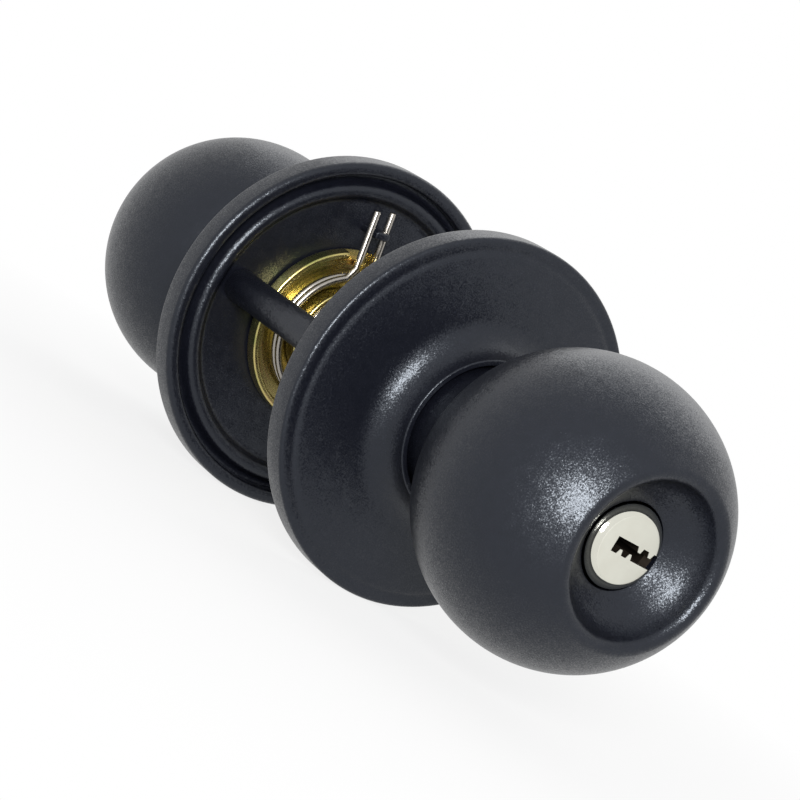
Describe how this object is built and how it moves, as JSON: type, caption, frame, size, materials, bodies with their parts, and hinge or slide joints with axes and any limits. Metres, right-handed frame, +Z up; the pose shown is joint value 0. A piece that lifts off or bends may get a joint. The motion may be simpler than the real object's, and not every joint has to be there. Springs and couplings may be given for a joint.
{
  "type": "keyed door knob lockset",
  "caption": "Keyed door knob lockset: a ball knob on a round rose at each side, joined by a spindle and posts, with a key cylinder in one knob and a sprung hub.",
  "frame": {"origin": "on the spindle axis, midway between the two rose seats: the centre of the bore in the door", "axes": "+Y along the spindle from the key side to the room side, +Z up on the door, +X to the right seen from the key side"},
  "size_m": [0.065, 0.1592, 0.065],
  "materials": {
    "black_powder_coat": "satin black powder coat with fine sparkle",
    "yellow_zinc": "yellow passivated zinc plate",
    "bright_steel": "bright drawn steel",
    "nickel_plate": "satin nickel plate with a polished edge",
    "pin_brass": "turned brass"
  },
  "bodies": {
    "roses": {"outside_rose": "black_powder_coat", "outside_plate": "black_powder_coat", "post_left": "black_powder_coat", "post_right": "black_powder_coat", "inside_rose": "black_powder_coat", "inside_plate": "black_powder_coat", "screw_left": "black_powder_coat", "screw_right": "black_powder_coat", "spring_cup": "yellow_zinc", "return_spring": "bright_steel"},
    "knobs": {"outside_knob": "black_powder_coat", "outside_shank": "yellow_zinc", "outside_circlip": "bright_steel", "outside_washer": "yellow_zinc", "cylinder_holder": "yellow_zinc", "cylinder_barrel": "nickel_plate", "chamber_cap": "nickel_plate", "spindle": "yellow_zinc", "inside_knob": "black_powder_coat", "inside_shank": "yellow_zinc", "inside_circlip": "bright_steel", "spring_hub": "yellow_zinc", "button_sleeve": "yellow_zinc", "driver_pin_1": "pin_brass", "driver_pin_2": "pin_brass", "driver_pin_3": "pin_brass", "driver_pin_4": "pin_brass", "driver_pin_5": "pin_brass", "pin_spring_1": "bright_steel", "pin_spring_2": "bright_steel", "pin_spring_3": "bright_steel", "pin_spring_4": "bright_steel", "pin_spring_5": "bright_steel"},
    "key_plug": {"key_plug": "nickel_plate", "plug_cap": "nickel_plate", "tail_bar": "bright_steel", "key_pin_1": "pin_brass", "key_pin_2": "pin_brass", "key_pin_3": "pin_brass", "key_pin_4": "pin_brass", "key_pin_5": "pin_brass"},
    "turn_button": {"turn_button": "black_powder_coat", "button_push_nut": "bright_steel"}
  },
  "joints": [
    {"name": "knob_turn", "type": "hinge", "parent": "roses", "child": "knobs", "pos_m": [0, 0, 0], "axis": [0, 1, 0], "range_deg": [-60, 60], "stiffness_Nm_per_rad": 0.2, "deforming": ["return_spring"]},
    {"name": "key_turn", "type": "hinge", "parent": "knobs", "child": "key_plug", "pos_m": [0, -0.06, 0], "axis": [0, 1, 0], "range_deg": [0, 90]},
    {"name": "button_turn", "type": "hinge", "parent": "knobs", "child": "turn_button", "pos_m": [0, 0.06, 0], "axis": [0, 1, 0], "range_deg": [0, 90]}
  ],
  "couplings": [
    {"joint": "button_turn", "follows": "key_turn", "ratio": 1}
  ]
}
